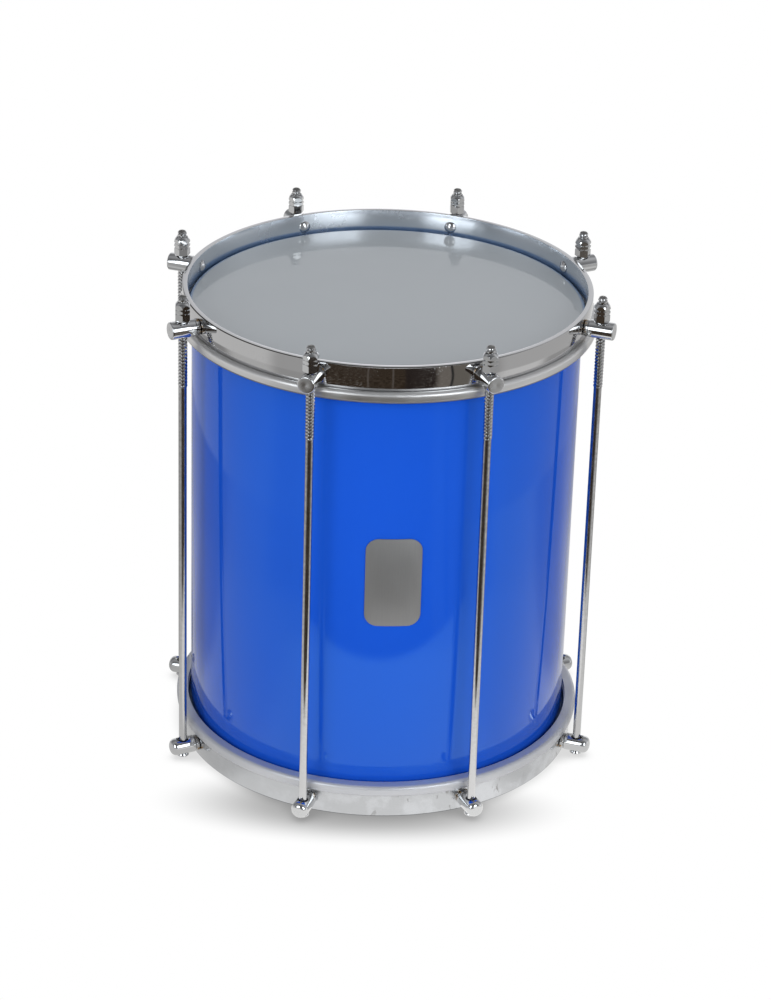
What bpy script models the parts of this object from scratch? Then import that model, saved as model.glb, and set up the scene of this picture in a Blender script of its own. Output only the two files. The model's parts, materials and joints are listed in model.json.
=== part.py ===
"""Repinique: a two headed samba drum, ten inches across, tuned by eight tension rods.

The drum stands on its lower hoop. The origin is at the middle of that resting rim,
+Z runs up the drum, and the badge on the shell faces -Y.
"""

import math

import bmesh
import bpy
from mathutils import Matrix, Vector

MM = 0.001

# The shell: a thin metal tube whose two ends are curled in to make the bearing edges.
SHELL_RADIUS = 127.0 * MM
SHELL_WALL = 1.2 * MM
SHELL_CURL = 4.0 * MM
SHELL_CURL_DROP = 0.9 * MM
BEARING_EDGE_RADIUS = 1.4 * MM

# The counter hoops: flat bar rolled into a ring that clears the shell, its corners broken.
DRUM_HEIGHT = 321.5 * MM
HOOP_CLEARANCE = 3.0 * MM
HOOP_THICKNESS = 3.2 * MM
HOOP_HEIGHT = 15.9 * MM
HOOP_CORNER = 0.5 * MM

# The heads: a film drawn over the bearing edge and held in a flesh hoop.
HEAD_DEPTH = 13.5 * MM
FILM_THICKNESS = 0.4 * MM
FILM_EDGE = 1.1 * MM
FILM_TO_HOOP = 0.9 * MM
FLESH_OVERHANG = 3.5 * MM
FLESH_HEIGHT = 7.6 * MM
FLESH_CORNER = 1.9 * MM
FILM_GRIP_DEPTH = 4.3 * MM

# The tension rods and their nuts.
ROD_COUNT = 8
ROD_STANDOFF = 10.7 * MM
THREAD_RADIUS = 3.0 * MM
THREAD_LENGTH = 63.0 * MM
SHANK_RADIUS = 2.6 * MM
ROD_ABOVE_RIM = 14.5 * MM
ROD_TIP_BEVEL = 0.8 * MM
ROD_HEAD_THICKNESS = 1.0 * MM
NUT_ACROSS_FLATS = 9.7 * MM
NUT_HEIGHT = 12.6 * MM
NUT_TOP_BEVEL = 0.9 * MM
NUT_FOOT_BEVEL = 0.7 * MM
NUT_LAND = 2.9 * MM
NUT_GROOVE_WIDTH = 0.9 * MM
NUT_GROOVE_DEPTH = 0.5 * MM
NUT_NOSE_LENGTH = 1.2 * MM

# The barrels that carry the rods, one above and one below on each rod.
BARREL_RADIUS = 5.75 * MM
BARREL_BEYOND_ROD = 9.0 * MM
UPPER_BARREL_EDGE = 1.0 * MM
LOWER_BARREL_EDGE = 3.2 * MM
BARREL_DROP = 8.5 * MM
BARREL_GROOVE = 0.8 * MM
BARREL_WALL = 1.0 * MM
COLLAR_RADIUS = 5.5 * MM
SEAT_RADIUS = 4.8 * MM
SEAT_DEPTH = 1.6 * MM

# The rivets that hold the barrels, headed inside the hoops.
RIVET_RADIUS = 1.8 * MM
RIVET_HEAD_RADIUS = 4.0 * MM
RIVET_HEAD_HEIGHT = 2.2 * MM

# The badge plate on the front of the shell.
BADGE_WIDTH = 36.0 * MM
BADGE_HEIGHT = 62.0 * MM
BADGE_CORNER = 8.5 * MM
BADGE_THICKNESS = 0.6 * MM
BADGE_CENTRE_HEIGHT = 169.5 * MM

# Clearances: between pieces that rest on each other, and round a rod in its hole.
REST_GAP = 0.3 * MM
ROD_CLEARANCE = 0.6 * MM
BORE_CLEARANCE = 0.3 * MM

# Facets round each kind of turned piece. The ring count puts a flat facet at every rod.
RING_STEPS = 56
BARREL_STEPS = 12
ROD_STEPS = 12
RIVET_STEPS = 8
BORE_STEPS = 12
BADGE_CORNER_STEPS = 4

# How far each nut was turned when the drum was last tuned, in degrees.
NUT_TURNS = (5, 30, 4, 40, 22, 20, 31, 6)

# Levels and radii that follow from the sizes above.
HOOP_INNER = SHELL_RADIUS + HOOP_CLEARANCE
HOOP_RADIUS = HOOP_INNER + HOOP_THICKNESS
FLESH_RADIUS = HOOP_RADIUS + FLESH_OVERHANG
ROD_CIRCLE_RADIUS = HOOP_RADIUS + ROD_STANDOFF
HEAD_LEVEL = DRUM_HEIGHT - HEAD_DEPTH
SHELL_TOP = HEAD_LEVEL - FILM_THICKNESS - REST_GAP
FLESH_TOP = DRUM_HEIGHT - HOOP_HEIGHT - REST_GAP
FLESH_FOOT = FLESH_TOP - FLESH_HEIGHT
SKIRT_RADIUS = HOOP_INNER - FILM_TO_HOOP
FLESH_INNER = SKIRT_RADIUS + REST_GAP
FILM_GRIP_LEVEL = FLESH_TOP - FILM_GRIP_DEPTH
BARREL_LEVEL = DRUM_HEIGHT - BARREL_DROP
BARREL_INNER_END = HOOP_RADIUS + REST_GAP
BARREL_OUTER_END = ROD_CIRCLE_RADIUS + BARREL_BEYOND_ROD
COLLAR_LENGTH = ROD_STANDOFF / 3
ROD_HOLE_RADIUS = THREAD_RADIUS + ROD_CLEARANCE
RIVET_HOLE_RADIUS = RIVET_RADIUS + BORE_CLEARANCE
RIVET_BORE_END = ROD_CIRCLE_RADIUS - ROD_HOLE_RADIUS - BARREL_WALL
RIVET_END = RIVET_BORE_END - BORE_CLEARANCE
NUT_FOOT = BARREL_LEVEL + BARREL_RADIUS + REST_GAP
NUT_BORE_RADIUS = THREAD_RADIUS + BORE_CLEARANCE
ROD_TOP = DRUM_HEIGHT + ROD_ABOVE_RIM
ROD_HEAD_TOP = BARREL_DROP - BARREL_RADIUS - REST_GAP
SEAT_SLOPE = (SEAT_RADIUS - ROD_HOLE_RADIUS) / SEAT_DEPTH
NOSE_RADIUS = SEAT_RADIUS - REST_GAP - REST_GAP * SEAT_SLOPE
NOSE_TIP_RADIUS = NOSE_RADIUS - NUT_NOSE_LENGTH * SEAT_SLOPE

BOTTOM_HALF = Matrix.Translation((0, 0, DRUM_HEIGHT)) @ Matrix.Diagonal((1, 1, -1, 1))


def clear_scene():
    """Remove every object, so that the script gives the same scene each run."""
    for item in list(bpy.data.objects):
        bpy.data.objects.remove(item, do_unlink=True)


def new_collection(name):
    group = bpy.data.collections.new(name)
    bpy.context.scene.collection.children.link(group)
    return group


def new_material(name, colour, roughness, metallic):
    material = bpy.data.materials.new(name)
    material.use_nodes = True
    shader = material.node_tree.nodes["Principled BSDF"]
    shader.inputs["Base Color"].default_value = (*colour, 1.0)
    shader.inputs["Roughness"].default_value = roughness
    shader.inputs["Metallic"].default_value = metallic
    return material


clear_scene()
DRUM = new_collection("repinique")
CUTTERS = new_collection("cutters")

CHROME = new_material("chrome", (0.80, 0.81, 0.83), 0.08, 1.0)
ALUMINIUM = new_material("aluminium", (0.72, 0.72, 0.73), 0.28, 1.0)
BLUE_LACQUER = new_material("blue_lacquer", (0.014, 0.11, 0.62), 0.12, 0.4)
MILKY_FILM = new_material("milky_film", (0.55, 0.57, 0.60), 0.25, 0.0)
ROD_STEEL = new_material("rod_steel", (0.70, 0.70, 0.71), 0.22, 1.0)
BADGE_METAL = new_material("badge_metal", (0.62, 0.63, 0.66), 0.35, 0.9)


def place(mesh, name, group, material=None, parent=None):
    """Make an object of a mesh, in a collection, with its material and its parent."""
    item = bpy.data.objects.new(name, mesh)
    group.objects.link(item)
    item.parent = parent
    if material is not None:
        item.data.materials.clear()
        item.data.materials.append(material)
    return item


def outline(points, closed):
    """A mesh of edges through points given as (radius, height)."""
    mesh = bpy.data.meshes.new("outline")
    count = len(points)
    edges = [(i, i + 1) for i in range(count - 1)]
    if closed:
        edges.append((count - 1, 0))
    mesh.from_pydata([(radius, 0, height) for radius, height in points], edges, [])
    return mesh


def turned(name, points, steps, group, material=None, closed=False, parent=None):
    """Turn an outline round Z. Its outer side runs from the top down."""
    item = place(outline(points, closed), name, group, material, parent)
    screw = item.modifiers.new("turn", "SCREW")
    screw.steps = steps
    screw.render_steps = steps
    screw.use_merge_vertices = True
    screw.merge_threshold = 0.00001
    screw.use_smooth_shade = False
    return item


def cut_with(item, cutter, operation="DIFFERENCE"):
    """Cut an object with another, which stays in the file as a hidden guide."""
    cutter.hide_render = True
    cutter.display_type = "WIRE"
    boolean = item.modifiers.new("cut", "BOOLEAN")
    boolean.operation = operation
    boolean.object = cutter
    boolean.solver = "EXACT"


def finished_mesh(item, name):
    """The mesh that an object has after its modifiers, in the object's own frame."""
    bpy.context.view_layer.update()
    evaluated = item.evaluated_get(bpy.context.evaluated_depsgraph_get())
    mesh = bpy.data.meshes.new_from_object(evaluated)
    mesh.name = name
    return mesh


def shade_round(mesh, angle=30):
    mesh.shade_smooth()
    mesh.set_sharp_from_angle(angle=math.radians(angle))


def mirrored_below(mesh, name):
    """The same ring for the lower half of the drum, turned upside down."""
    lower = mesh.copy()
    lower.name = name
    lower.transform(BOTTOM_HALF)
    lower.flip_normals()
    return lower


def lug_angle(index):
    """Direction of a rod from the drum's axis, in radians from +X. The first is front left."""
    between_rods = 2 * math.pi / ROD_COUNT
    return -math.pi / 2 + (index - 0.5) * between_rods


def lug_frame(index):
    """An empty on the drum's axis whose +X points out through one rod."""
    empty = bpy.data.objects.new(f"lug_frame_{index + 1}", None)
    DRUM.objects.link(empty)
    empty.rotation_euler = (0, 0, lug_angle(index))
    return empty


def bevelled_ring(inner, outer, foot, top, corner):
    """Section of a flat bar ring with broken corners."""
    return [
        (outer - corner, top),
        (outer, top - corner),
        (outer, foot + corner),
        (outer - corner, foot),
        (inner + corner, foot),
        (inner, foot + corner),
        (inner, top - corner),
        (inner + corner, top),
    ]


def make_shell():
    """The tube, with both ends curled in under the heads."""
    curl = SHELL_RADIUS - SHELL_CURL
    edge = SHELL_RADIUS - BEARING_EDGE_RADIUS
    foot = DRUM_HEIGHT - SHELL_TOP
    skin = [
        (curl, SHELL_TOP - SHELL_CURL_DROP),
        (edge, SHELL_TOP),
        (SHELL_RADIUS, SHELL_TOP - BEARING_EDGE_RADIUS),
        (SHELL_RADIUS, foot + BEARING_EDGE_RADIUS),
        (edge, foot),
        (curl, foot + SHELL_CURL_DROP),
    ]
    shell = turned("shell", skin, RING_STEPS, DRUM, BLUE_LACQUER)
    wall = shell.modifiers.new("wall", "SOLIDIFY")
    wall.thickness = SHELL_WALL
    wall.offset = -1.0
    wall.use_even_offset = True


def film_skin():
    """The playing face, the collar over the bearing edge, the skirt and its turned out edge."""
    collar_start = SHELL_RADIUS - BEARING_EDGE_RADIUS + FILM_THICKNESS
    collar_end = SKIRT_RADIUS
    collar_drop = (collar_end - collar_start) * 1.3
    collar_middle = (collar_start + collar_end) / 2 + FILM_THICKNESS
    return [
        (0, HEAD_LEVEL),
        (collar_start, HEAD_LEVEL),
        (collar_middle, HEAD_LEVEL - collar_drop * 0.4),
        (collar_end, HEAD_LEVEL - collar_drop),
        (SKIRT_RADIUS, FILM_GRIP_LEVEL),
        (SKIRT_RADIUS + FILM_EDGE, FILM_GRIP_LEVEL - FILM_EDGE * 0.2),
    ]


def make_heads():
    """Both heads. The film is a thin skin whose thickness lies inwards."""
    film = turned("film_guide", film_skin(), RING_STEPS, CUTTERS)
    film.hide_render = True
    thickness = film.modifiers.new("thickness", "SOLIDIFY")
    thickness.thickness = FILM_THICKNESS
    thickness.offset = -1.0
    thickness.use_even_offset = True
    mesh = finished_mesh(film, "film")
    bpy.data.objects.remove(film, do_unlink=True)
    shade_round(mesh)
    place(mesh, "top_head", DRUM, MILKY_FILM)
    place(mirrored_below(mesh, "film_below"), "bottom_head", DRUM, MILKY_FILM)


def make_flesh_hoops():
    """The aluminium rings that grip the films, grooved inside for the films' edges."""
    groove_top = FILM_GRIP_LEVEL + REST_GAP + REST_GAP
    groove_foot = FILM_GRIP_LEVEL - FILM_THICKNESS - FILM_EDGE * 0.2 - REST_GAP - REST_GAP
    groove_radius = SKIRT_RADIUS + FILM_EDGE + REST_GAP
    section = [
        (FLESH_RADIUS - FLESH_CORNER, FLESH_TOP),
        (FLESH_RADIUS, FLESH_TOP - FLESH_CORNER),
        (FLESH_RADIUS, FLESH_FOOT + FLESH_CORNER),
        (FLESH_RADIUS - FLESH_CORNER, FLESH_FOOT),
        (FLESH_INNER, FLESH_FOOT),
        (FLESH_INNER, groove_foot),
        (groove_radius, groove_foot),
        (groove_radius, groove_top),
        (FLESH_INNER, groove_top),
        (FLESH_INNER, FLESH_TOP),
    ]
    guide = turned("flesh_guide", section, RING_STEPS, CUTTERS, closed=True)
    mesh = finished_mesh(guide, "flesh_hoop")
    bpy.data.objects.remove(guide, do_unlink=True)
    shade_round(mesh)
    place(mesh, "top_flesh_hoop", DRUM, ALUMINIUM)
    place(mirrored_below(mesh, "flesh_hoop_below"), "bottom_flesh_hoop", DRUM, ALUMINIUM)


def rivet_drill():
    """One cutter of eight radial pins, which drills a hoop for its rivets."""
    drill = bmesh.new()
    for index in range(ROD_COUNT):
        outwards = Matrix.Rotation(lug_angle(index), 4, "Z") @ Matrix.Rotation(math.pi / 2, 4, "Y")
        along = Matrix.Translation((0, 0, BARREL_LEVEL)) @ outwards
        middle = Matrix.Translation((0, 0, HOOP_RADIUS - HOOP_THICKNESS / 2))
        bmesh.ops.create_cone(
            drill,
            cap_ends=True,
            segments=BORE_STEPS,
            radius1=RIVET_HOLE_RADIUS,
            radius2=RIVET_HOLE_RADIUS,
            depth=HOOP_THICKNESS * 2,
            matrix=along @ middle,
        )
    mesh = bpy.data.meshes.new("rivet_drill")
    drill.to_mesh(mesh)
    drill.free()
    return place(mesh, "rivet_drill", CUTTERS)


def make_hoops():
    """Both counter hoops, drilled for the rivets."""
    foot = DRUM_HEIGHT - HOOP_HEIGHT
    section = bevelled_ring(HOOP_INNER, HOOP_RADIUS, foot, DRUM_HEIGHT, HOOP_CORNER)
    guide = turned("hoop_guide", section, RING_STEPS, CUTTERS, closed=True)
    cut_with(guide, rivet_drill())
    mesh = finished_mesh(guide, "hoop")
    bpy.data.objects.remove(guide, do_unlink=True)
    shade_round(mesh)
    place(mesh, "top_hoop", DRUM, CHROME)
    place(mirrored_below(mesh, "hoop_below"), "bottom_hoop", DRUM, CHROME)


def barrel_mesh(edge):
    """A barrel along +X with its base at the hoop, its outer edge rounded off by the given size.

    The rod's hole is countersunk at both ends: a nut's nose sits in the upper seat of an
    upper barrel, and a rod's head in the lower seat of a lower one.
    """
    groove_foot = BARREL_INNER_END + COLLAR_LENGTH
    groove_top = groove_foot + BARREL_GROOVE
    section = [
        (0, BARREL_OUTER_END),
        (BARREL_RADIUS - edge, BARREL_OUTER_END),
        (BARREL_RADIUS - edge * 0.29, BARREL_OUTER_END - edge * 0.29),
        (BARREL_RADIUS, BARREL_OUTER_END - edge),
        (BARREL_RADIUS, groove_top),
        (COLLAR_RADIUS - BARREL_GROOVE, (groove_top + groove_foot) / 2),
        (COLLAR_RADIUS, groove_foot),
        (COLLAR_RADIUS, BARREL_INNER_END),
        (RIVET_HOLE_RADIUS, BARREL_INNER_END),
        (RIVET_HOLE_RADIUS, RIVET_BORE_END),
        (0, RIVET_BORE_END),
    ]
    barrel = turned("barrel_guide", section, BARREL_STEPS, CUTTERS)
    barrel.rotation_euler = (0, math.pi / 2, 0)
    reach = BARREL_RADIUS + SEAT_DEPTH
    mouth = SEAT_RADIUS + SEAT_DEPTH * SEAT_SLOPE
    throat = BARREL_RADIUS - SEAT_DEPTH
    hole = [
        (0, reach),
        (mouth, reach),
        (ROD_HOLE_RADIUS, throat),
        (ROD_HOLE_RADIUS, -throat),
        (mouth, -reach),
        (0, -reach),
    ]
    drill = turned("rod_drill", hole, BORE_STEPS, CUTTERS)
    drill.location = (ROD_CIRCLE_RADIUS, 0, 0)
    cut_with(barrel, drill)
    mesh = finished_mesh(barrel, "barrel")
    mesh.transform(Matrix.Rotation(math.pi / 2, 4, "Y"))
    mesh.transform(Matrix.Translation((-ROD_CIRCLE_RADIUS, 0, 0)))
    bpy.data.objects.remove(barrel, do_unlink=True)
    shade_round(mesh)
    return mesh


def rivet_mesh():
    """A domed rivet along +X: its head inside the hoop, its shank in the barrel's bore."""
    seat = HOOP_INNER - REST_GAP
    section = [
        (0, RIVET_END),
        (RIVET_RADIUS, RIVET_END),
        (RIVET_RADIUS, seat),
        (RIVET_HEAD_RADIUS, seat),
        (RIVET_HEAD_RADIUS * 0.75, seat - RIVET_HEAD_HEIGHT * 0.75),
        (0, seat - RIVET_HEAD_HEIGHT),
    ]
    rivet = turned("rivet_guide", section, RIVET_STEPS, CUTTERS)
    mesh = finished_mesh(rivet, "rivet")
    bpy.data.objects.remove(rivet, do_unlink=True)
    mesh.transform(Matrix.Rotation(math.pi / 2, 4, "Y"))
    shade_round(mesh)
    return mesh


def rod_mesh():
    """A rod along Z about its own axis: threaded top, plain shank, head under the barrel."""
    thread_end = ROD_TOP - THREAD_LENGTH
    section = [
        (0, ROD_TOP),
        (THREAD_RADIUS - ROD_TIP_BEVEL, ROD_TOP),
        (THREAD_RADIUS, ROD_TOP - ROD_TIP_BEVEL),
        (THREAD_RADIUS, thread_end),
        (SHANK_RADIUS, thread_end - (THREAD_RADIUS - SHANK_RADIUS)),
        (SHANK_RADIUS, ROD_HEAD_TOP + NUT_NOSE_LENGTH),
        (NOSE_TIP_RADIUS, ROD_HEAD_TOP + NUT_NOSE_LENGTH),
        (NOSE_RADIUS, ROD_HEAD_TOP),
        (NOSE_RADIUS, ROD_HEAD_TOP - ROD_HEAD_THICKNESS),
        (0, ROD_HEAD_TOP - ROD_HEAD_THICKNESS),
    ]
    rod = turned("rod_guide", section, ROD_STEPS, CUTTERS)
    mesh = finished_mesh(rod, "rod")
    bpy.data.objects.remove(rod, do_unlink=True)
    shade_round(mesh)
    return mesh


def nut_mesh():
    """A tall hexagonal nut about Z, with two grooves and a conical nose for its seat."""
    corner = NUT_ACROSS_FLATS / 2 / math.cos(math.pi / 6)
    top = NUT_FOOT + NUT_HEIGHT
    section = [(0, top), (corner - NUT_TOP_BEVEL, top), (corner, top - NUT_TOP_BEVEL)]
    level = top - NUT_LAND
    for _ in range(2):
        section.append((corner, level))
        section.append((corner - NUT_GROOVE_DEPTH, level - NUT_GROOVE_WIDTH / 2))
        section.append((corner, level - NUT_GROOVE_WIDTH))
        level -= NUT_LAND + NUT_GROOVE_WIDTH
    section.append((corner, NUT_FOOT + NUT_FOOT_BEVEL))
    section.append((NOSE_RADIUS, NUT_FOOT))
    section.append((NOSE_TIP_RADIUS, NUT_FOOT - NUT_NOSE_LENGTH))
    section.append((0, NUT_FOOT - NUT_NOSE_LENGTH))
    nut = turned("nut_guide", section, 6, CUTTERS)
    bore = [
        (0, top + NUT_TOP_BEVEL),
        (NUT_BORE_RADIUS, top + NUT_TOP_BEVEL),
        (NUT_BORE_RADIUS, NUT_FOOT - NUT_NOSE_LENGTH * 2),
        (0, NUT_FOOT - NUT_NOSE_LENGTH * 2),
    ]
    cut_with(nut, turned("nut_drill", bore, BORE_STEPS, CUTTERS))
    mesh = finished_mesh(nut, "nut")
    bpy.data.objects.remove(nut, do_unlink=True)
    return mesh


def make_lugs():
    """Everything that repeats at each rod: two barrels, two rivets, the rod and its nut."""
    upper_barrel = barrel_mesh(UPPER_BARREL_EDGE)
    lower_barrel = barrel_mesh(LOWER_BARREL_EDGE)
    rivet = rivet_mesh()
    rod = rod_mesh()
    nut = nut_mesh()
    for index in range(ROD_COUNT):
        frame = lug_frame(index)
        number = index + 1
        upper = place(upper_barrel, f"upper_barrel_{number}", DRUM, CHROME, frame)
        upper.location = (ROD_CIRCLE_RADIUS, 0, BARREL_LEVEL)
        lower = place(lower_barrel, f"lower_barrel_{number}", DRUM, CHROME, frame)
        lower.location = (ROD_CIRCLE_RADIUS, 0, BARREL_DROP)
        place(rivet, f"upper_rivet_{number}", DRUM, CHROME, frame).location = (0, 0, BARREL_LEVEL)
        place(rivet, f"lower_rivet_{number}", DRUM, CHROME, frame).location = (0, 0, BARREL_DROP)
        tension_rod = place(rod, f"tension_rod_{number}", DRUM, ROD_STEEL, frame)
        tension_rod.location = (ROD_CIRCLE_RADIUS, 0, 0)
        tuning_nut = place(nut, f"tuning_nut_{number}", DRUM, CHROME, frame)
        tuning_nut.location = (ROD_CIRCLE_RADIUS, 0, 0)
        tuning_nut.rotation_euler = (0, 0, math.radians(NUT_TURNS[index]))


def rounded_rectangle(width, height, corner, steps):
    """Corner points of a rounded rectangle about the origin, as (across, up)."""
    points = []
    for quarter in range(4):
        side = 1 if quarter in (0, 3) else -1
        rise = 1 if quarter in (0, 1) else -1
        centre = Vector((side * (width / 2 - corner), rise * (height / 2 - corner)))
        for step in range(steps + 1):
            angle = (quarter + step / steps) * math.pi / 2
            points.append(centre + corner * Vector((math.cos(angle), math.sin(angle))))
    return points


def make_badge():
    """A thin plate bent round the shell: a band of tube kept inside a rounded rectangle."""
    inner = SHELL_RADIUS + REST_GAP
    outer = inner + BADGE_THICKNESS
    foot = BADGE_CENTRE_HEIGHT - BADGE_HEIGHT
    top = BADGE_CENTRE_HEIGHT + BADGE_HEIGHT
    band = [(outer, top), (outer, foot), (inner, foot), (inner, top)]
    badge = turned("badge_plate", band, RING_STEPS, DRUM, BADGE_METAL, closed=True)
    punch = bmesh.new()
    corners = rounded_rectangle(BADGE_WIDTH, BADGE_HEIGHT, BADGE_CORNER, BADGE_CORNER_STEPS)
    rim = [punch.verts.new((across, -HOOP_RADIUS, BADGE_CENTRE_HEIGHT + up)) for across, up in corners]
    face = punch.faces.new(rim)
    depth = Vector((0, HOOP_RADIUS / 2, 0))
    swept = bmesh.ops.extrude_face_region(punch, geom=[face])
    moved = [part for part in swept["geom"] if isinstance(part, bmesh.types.BMVert)]
    bmesh.ops.translate(punch, verts=moved, vec=depth)
    bmesh.ops.recalc_face_normals(punch, faces=punch.faces)
    mesh = bpy.data.meshes.new("badge_punch")
    punch.to_mesh(mesh)
    punch.free()
    cut_with(badge, place(mesh, "badge_punch", CUTTERS), "INTERSECT")


make_shell()
make_heads()
make_flesh_hoops()
make_hoops()
make_lugs()
make_badge()
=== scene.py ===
"""A repinique, dressed for its picture: a lacquered ten inch drum with chromed hoops and tension rods.

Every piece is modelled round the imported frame, which gives its place and its main sizes.
"""

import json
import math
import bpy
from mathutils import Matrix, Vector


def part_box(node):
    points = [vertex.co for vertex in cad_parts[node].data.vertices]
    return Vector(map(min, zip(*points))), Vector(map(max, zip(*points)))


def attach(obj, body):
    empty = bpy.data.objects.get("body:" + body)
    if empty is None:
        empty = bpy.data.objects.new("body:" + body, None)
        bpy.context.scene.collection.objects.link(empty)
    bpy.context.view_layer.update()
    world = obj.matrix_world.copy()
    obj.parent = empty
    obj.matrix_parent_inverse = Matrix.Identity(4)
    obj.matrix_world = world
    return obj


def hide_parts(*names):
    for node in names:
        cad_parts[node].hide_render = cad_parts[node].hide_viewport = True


bl_info = {
    "name": "Repinique",
    "version": (1, 0, 0),
    "blender": (4, 5, 0),
    "location": "View3D > Sidebar > Drum",
    "description": "Models and finishes the pieces of a samba drum, and sets the studio round it",
    "category": "Object",
}

import bmesh
import bpy
from mathutils import Matrix, Vector

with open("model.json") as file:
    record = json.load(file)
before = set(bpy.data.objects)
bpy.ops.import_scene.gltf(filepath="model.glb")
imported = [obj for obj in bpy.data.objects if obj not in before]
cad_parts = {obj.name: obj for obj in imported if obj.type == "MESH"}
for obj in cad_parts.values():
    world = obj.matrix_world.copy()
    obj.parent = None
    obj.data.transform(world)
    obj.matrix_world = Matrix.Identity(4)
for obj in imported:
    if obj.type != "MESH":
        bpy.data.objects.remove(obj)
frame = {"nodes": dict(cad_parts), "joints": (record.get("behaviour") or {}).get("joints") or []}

MM = 0.001
DRUM = "drum"
UPPER_HOOP = "upper_counter_hoop"


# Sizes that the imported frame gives.


def levels(node):
    """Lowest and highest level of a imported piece."""
    low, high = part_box(node)
    return low.z, high.z


def reaches(node):
    """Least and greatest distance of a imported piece's corners from the drum's axis."""
    distances = [corner.co.xy.length for corner in frame["nodes"][node].data.vertices]
    return min(distances), max(distances)


def rod_places():
    """Where the rods stand, as (angle from +X, distance from the axis)."""
    places = []
    for joint in frame["joints"]:
        if joint["name"].startswith("nut_turn_"):
            x, y, _ = joint["pos_m"]
            places.append((math.atan2(y, x), math.hypot(x, y)))
    return places


RODS = rod_places()
ROD_CIRCLE = RODS[0][1]
HOOP_INNER, HOOP_OUTER = reaches("top_hoop")
HOOP_FOOT, HOOP_TOP = levels("top_hoop")
DRUM_MIDDLE = HOOP_TOP / 2
FLESH_INNER, FLESH_OUTER = reaches("top_flesh_hoop")
FLESH_FOOT, FLESH_TOP = levels("top_flesh_hoop")
FILM_FOOT, HEAD_LEVEL = levels("top_head")
FILM_EDGE = reaches("top_head")[1]
SHELL_OUTER = reaches("shell")[1]
SHELL_FOOT, SHELL_TOP = levels("shell")
BARREL_FOOT, BARREL_TOP = levels("upper_barrel_1")
BARREL_LEVEL = (BARREL_FOOT + BARREL_TOP) / 2
BARREL_RADIUS = (BARREL_TOP - BARREL_FOOT) / 2
BARREL_START, BARREL_END = reaches("upper_barrel_1")
LOWER_BARREL_LEVEL = sum(levels("lower_barrel_1")) / 2
ROD_FOOT, ROD_TIP = levels("tension_rod_1")
NUT_FOOT, NUT_TOP = levels("tuning_nut_1")
RIVET_TIP, RIVET_END = reaches("upper_rivet_1")
BADGE_FOOT, BADGE_TOP = levels("badge_plate")
BADGE_OUTER = reaches("badge_plate")[1]
BADGE_HALF_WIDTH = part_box("badge_plate")[1].x


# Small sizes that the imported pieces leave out.

# How the film bends over the shell's edge, in millimetres out from its skirt and down from its face.
FILM_BEND = (
    (-2.6, 0.0), (-1.7, 0.05), (-1.0, 0.22), (-0.4, 0.6),
    (0.05, 1.2), (0.4, 1.9), (0.5, 2.35), (0.0, 2.7),
)
# How far a barrel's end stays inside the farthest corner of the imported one.
BARREL_END_GAP = 0.16 * MM
BARREL_COLLAR = BARREL_START + 2.4 * MM
# How far each nut was turned when the drum was last tuned, in degrees.
NUT_TURNS = (5, 30, 4, 40, 22, 20, 31, 6)
BADGE_CORNER = 8.5 * MM

# Tints of bare metal, with tints of painted light and shade on the hoops.
PLATE_TINT = (0.63, 0.635, 0.64)
BRASS_TINT = (0.44, 0.27, 0.10)
ZINC_TINT = (0.64, 0.64, 0.645)
# A darker tint for the roots of the rods' thread.
ROOT_TINT = (0.24, 0.235, 0.225)
# Painted light: a brighter, bluish tint for the hoops' inner wall.
INSIDE_WALL_LIGHT_TINT = (0.71, 0.75, 0.80)
PALE_STAIN = (0.66, 0.675, 0.70)
DARK_STAIN = (0.24, 0.235, 0.23)
# Painted shade: the dark line along the upper rim's outer corner.
CORNER_SHADE_TINT = (0.06, 0.056, 0.05)
BADGE_TINT = (0.335, 0.33, 0.325)


# Working in Blender as by hand.


def only(piece):
    """Select one object, in object mode, and nothing else."""
    if bpy.context.object is not None and bpy.context.object.mode != "OBJECT":
        bpy.ops.object.mode_set(mode="OBJECT")
    bpy.ops.object.select_all(action="DESELECT")
    if piece is not None:
        piece.select_set(True)
        bpy.context.view_layer.objects.active = piece


def added(name):
    """Name the primitive that was just added and set its place in its mesh."""
    piece = bpy.context.object
    piece.name = name
    piece.data.name = name
    bpy.ops.object.transform_apply(location=True, rotation=True, scale=True)
    return piece


def apply_modifier(piece, kind, **values):
    """Add a modifier to a piece with its settings, and apply it."""
    only(piece)
    bpy.ops.object.modifier_add(type=kind)
    modifier = piece.modifiers[-1]
    for name, value in values.items():
        setattr(modifier, name, value)
    bpy.ops.object.modifier_apply(modifier=modifier.name)


def edit(piece):
    """Open a piece in edit mode with all of it selected."""
    only(piece)
    bpy.ops.object.mode_set(mode="EDIT")
    bpy.ops.mesh.select_all(action="SELECT")


def close_up():
    """Point all faces outwards and leave edit mode."""
    bpy.ops.mesh.select_all(action="SELECT")
    bpy.ops.mesh.normals_make_consistent(inside=False)
    bpy.ops.object.mode_set(mode="OBJECT")


def select_corners(piece, wanted):
    """Select the corners of a piece in edit mode whose place is wanted."""
    bpy.ops.mesh.select_mode(type="VERT")
    bpy.ops.mesh.select_all(action="DESELECT")
    mesh = bmesh.from_edit_mesh(piece.data)
    for corner in mesh.verts:
        corner.select_set(wanted(corner.co))
    mesh.select_flush_mode()
    bmesh.update_edit_mesh(piece.data)


def edges_rounded(piece, wanted, width, segments):
    """Round the edges of a piece whose two ends are wanted."""
    edit(piece)
    bpy.ops.mesh.select_mode(type="EDGE")
    bpy.ops.mesh.select_all(action="DESELECT")
    mesh = bmesh.from_edit_mesh(piece.data)
    for edge in mesh.edges:
        one, two = edge.verts
        edge.select_set(wanted(one.co, two.co))
    bmesh.update_edit_mesh(piece.data)
    bpy.ops.mesh.bevel(offset=width, segments=segments, affect="EDGES", offset_type="OFFSET")
    bpy.ops.object.mode_set(mode="OBJECT")


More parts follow.
